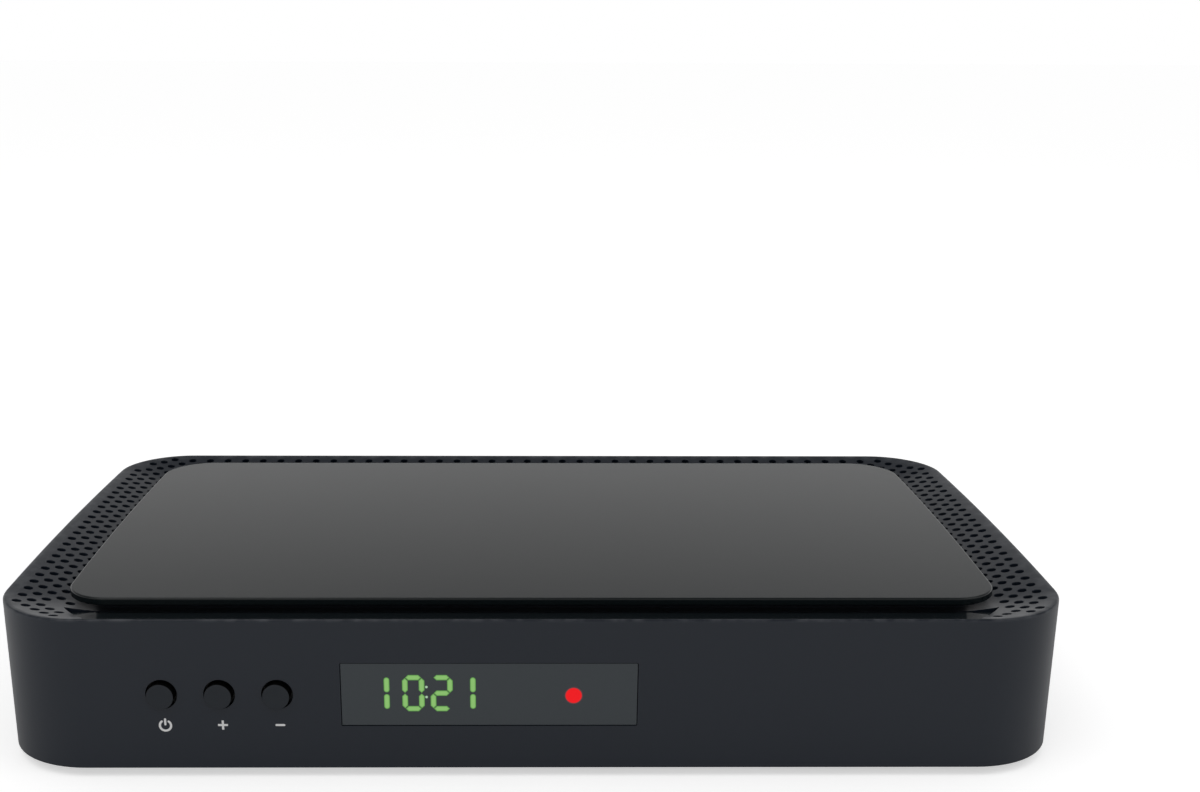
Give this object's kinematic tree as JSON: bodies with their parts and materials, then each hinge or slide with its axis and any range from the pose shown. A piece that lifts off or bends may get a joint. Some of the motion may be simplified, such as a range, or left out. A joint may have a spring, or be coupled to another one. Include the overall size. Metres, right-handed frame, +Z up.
{
  "type": "tv decoder box",
  "caption": "Flat set-top television decoder: bowed charcoal case with a raised gloss top panel, perforated band, front push buttons, lit clock window and rear sockets.",
  "frame": {"origin": "centre of the overall box in plan, at the bottom of the feet", "axes": "+X to the right seen from the front, along the longest side; +Y from the button face to the sockets; +Z up"},
  "size_m": [0.22, 0.137, 0.0348],
  "materials": {
    "charcoal_plastic": "fine satin moulded ABS, charcoal",
    "gloss_black": "polished black",
    "smoked_window": "smoked acrylic, satin gloss",
    "key_plastic": "satin black",
    "rubber": "matt",
    "black_steel": "black powder coat",
    "tinplate": "tinned sheet",
    "nickel": "nickel plate",
    "aluminium": "extruded, bare",
    "zinc_steel": "zinc plate",
    "circuit_board": "green solder mask",
    "chip_resin": "matt black resin",
    "socket_plastic": "black socket moulding",
    "header_plastic": "cream nylon",
    "ribbon": "grey flat cable",
    "black_foam": "matt foam",
    "red_lens": "tinted clear resin",
    "capacitor_sleeve": "shrink sleeve"
  },
  "bodies": {
    "case": {"upper_shell": "charcoal_plastic", "top_panel": "gloss_black", "front_trim_strip": "gloss_black", "base_tray": "charcoal_plastic", "rear_panel": "black_steel", "foot_front_left": "rubber", "foot_front_right": "rubber", "foot_rear_left": "rubber", "foot_rear_right": "rubber", "case_screw_1": "zinc_steel", "case_screw_2": "zinc_steel", "case_screw_3": "zinc_steel", "case_screw_4": "zinc_steel", "display_window": "smoked_window", "light_mask": "black_foam", "clock_display": "chip_resin", "standby_lamp": "red_lens", "remote_receiver": "chip_resin", "power_switch": "socket_plastic", "channel_up_switch": "socket_plastic", "channel_down_switch": "socket_plastic", "front_board": "circuit_board", "front_board_screw_left": "zinc_steel", "front_board_screw_right": "zinc_steel", "front_board_header": "header_plastic", "ribbon_cable": "ribbon", "main_board_header": "header_plastic", "main_board": "circuit_board", "board_screw_1": "zinc_steel", "board_screw_2": "zinc_steel", "board_screw_3": "zinc_steel", "board_screw_4": "zinc_steel", "processor": "chip_resin", "heatsink": "aluminium", "memory_chip": "chip_resin", "flash_chip": "chip_resin", "crystal": "tinplate", "power_inductor": "chip_resin", "filter_capacitor_1": "capacitor_sleeve", "filter_capacitor_2": "capacitor_sleeve", "satellite_tuner": "tinplate", "terrestrial_tuner": "tinplate", "satellite_socket": "nickel", "satellite_socket_nut": "nickel", "aerial_in_socket": "nickel", "aerial_out_socket": "nickel", "hdmi_socket": "nickel", "ethernet_socket": "socket_plastic", "usb_socket": "nickel", "digital_audio_socket": "socket_plastic", "av_socket": "socket_plastic", "power_inlet": "socket_plastic"},
    "power_key": {"power_button": "key_plastic"},
    "channel_up_key": {"channel_up_button": "key_plastic"},
    "channel_down_key": {"channel_down_button": "key_plastic"},
    "power_plunger": {"power_switch_plunger": "key_plastic"},
    "channel_up_plunger": {"channel_up_switch_plunger": "key_plastic"},
    "channel_down_plunger": {"channel_down_switch_plunger": "key_plastic"}
  },
  "joints": [
    {"name": "power_button_press", "type": "slide", "parent": "case", "child": "power_key", "axis": [0, 1, 0], "range_m": [0, 0.00055], "stiffness_N_per_m": 600, "springref_m": -0.001},
    {"name": "channel_up_button_press", "type": "slide", "parent": "case", "child": "channel_up_key", "axis": [0, 1, 0], "range_m": [0, 0.00055], "stiffness_N_per_m": 600, "springref_m": -0.001},
    {"name": "channel_down_button_press", "type": "slide", "parent": "case", "child": "channel_down_key", "axis": [0, 1, 0], "range_m": [0, 0.00055], "stiffness_N_per_m": 600, "springref_m": -0.001},
    {"name": "power_plunger_travel", "type": "slide", "parent": "case", "child": "power_plunger", "axis": [0, 1, 0], "range_m": [0, 0.00025]},
    {"name": "channel_up_plunger_travel", "type": "slide", "parent": "case", "child": "channel_up_plunger", "axis": [0, 1, 0], "range_m": [0, 0.00025]},
    {"name": "channel_down_plunger_travel", "type": "slide", "parent": "case", "child": "channel_down_plunger", "axis": [0, 1, 0], "range_m": [0, 0.00025]}
  ],
  "couplings": [
    {"joint": "power_plunger_travel", "follows": "power_button_press", "ratio": 0.45},
    {"joint": "channel_up_plunger_travel", "follows": "channel_up_button_press", "ratio": 0.45},
    {"joint": "channel_down_plunger_travel", "follows": "channel_down_button_press", "ratio": 0.45}
  ]
}
